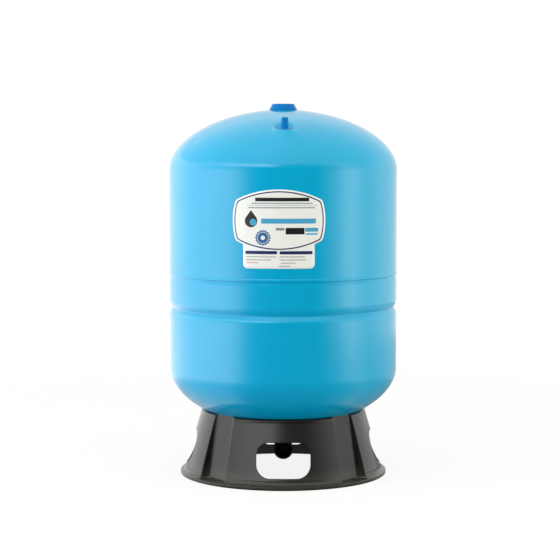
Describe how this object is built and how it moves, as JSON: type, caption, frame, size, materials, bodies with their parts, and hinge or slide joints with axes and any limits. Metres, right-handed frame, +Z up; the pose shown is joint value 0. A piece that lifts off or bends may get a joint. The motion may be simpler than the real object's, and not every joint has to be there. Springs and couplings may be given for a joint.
{
  "type": "well pressure tank",
  "caption": "Upright pre-charged well pressure tank: blue domed steel shell on a black moulded stand, with a covered top port, an air valve and a threaded water elbow.",
  "frame": {"origin": "on the floor, at the middle of the tank's axis", "axes": "+Z up along the tank's axis, -Y towards the front, where the label, the air valve and the water connection are"},
  "size_m": [0.5608, 0.5608, 0.912],
  "materials": {
    "tank_paint": "glossy light blue paint",
    "ring_steel": "bright rolled steel",
    "butyl_rubber": "moulded rubber",
    "liner_plastic": "natural moulded plastic",
    "elbow_coat": "dark coating over a cast elbow",
    "stand_plastic": "satin black moulded plastic",
    "plug_steel": "zinc plated",
    "cap_plastic": "glossy blue moulded plastic",
    "valve_brass": "turned brass",
    "seal_rubber": "black rubber",
    "spring_steel": "spring wire",
    "label_film": "white printed film"
  },
  "bodies": {
    "tank": {"lower_shell": "tank_paint", "upper_shell": "tank_paint", "girth_weld": "tank_paint", "clench_ring": "ring_steel", "diaphragm": "butyl_rubber", "liner": "liner_plastic", "inlet_sleeve": "liner_plastic", "water_elbow": "elbow_coat", "elbow_weld": "tank_paint", "stand": "stand_plastic", "top_boss": "tank_paint", "boss_weld": "tank_paint", "port_plug": "plug_steel", "valve_bung": "tank_paint", "valve_body": "valve_brass", "valve_core": "valve_brass", "core_gasket": "seal_rubber", "pin_spring": "spring_steel", "label": "label_film"},
    "top_cap_body": {"top_cap": "cap_plastic"},
    "valve_cap_body": {"valve_cap": "cap_plastic", "cap_seal": "seal_rubber"},
    "valve_pin_body": {"valve_pin": "valve_brass", "seat_washer": "seal_rubber"}
  },
  "joints": [
    {"name": "top_cap_lift", "type": "slide", "parent": "tank", "child": "top_cap_body", "axis": [0, 0, 1], "range_m": [0, 0.05]},
    {"name": "valve_cap_lift", "type": "slide", "parent": "tank", "child": "valve_cap_body", "axis": [0, 0, 1], "range_m": [0, 0.04]},
    {"name": "valve_pin_press", "type": "slide", "parent": "tank", "child": "valve_pin_body", "axis": [0, 0, 1], "range_m": [-0.0012, 0], "stiffness_N_per_m": 600, "springref_m": 0.001, "deforming": ["pin_spring"]}
  ]
}
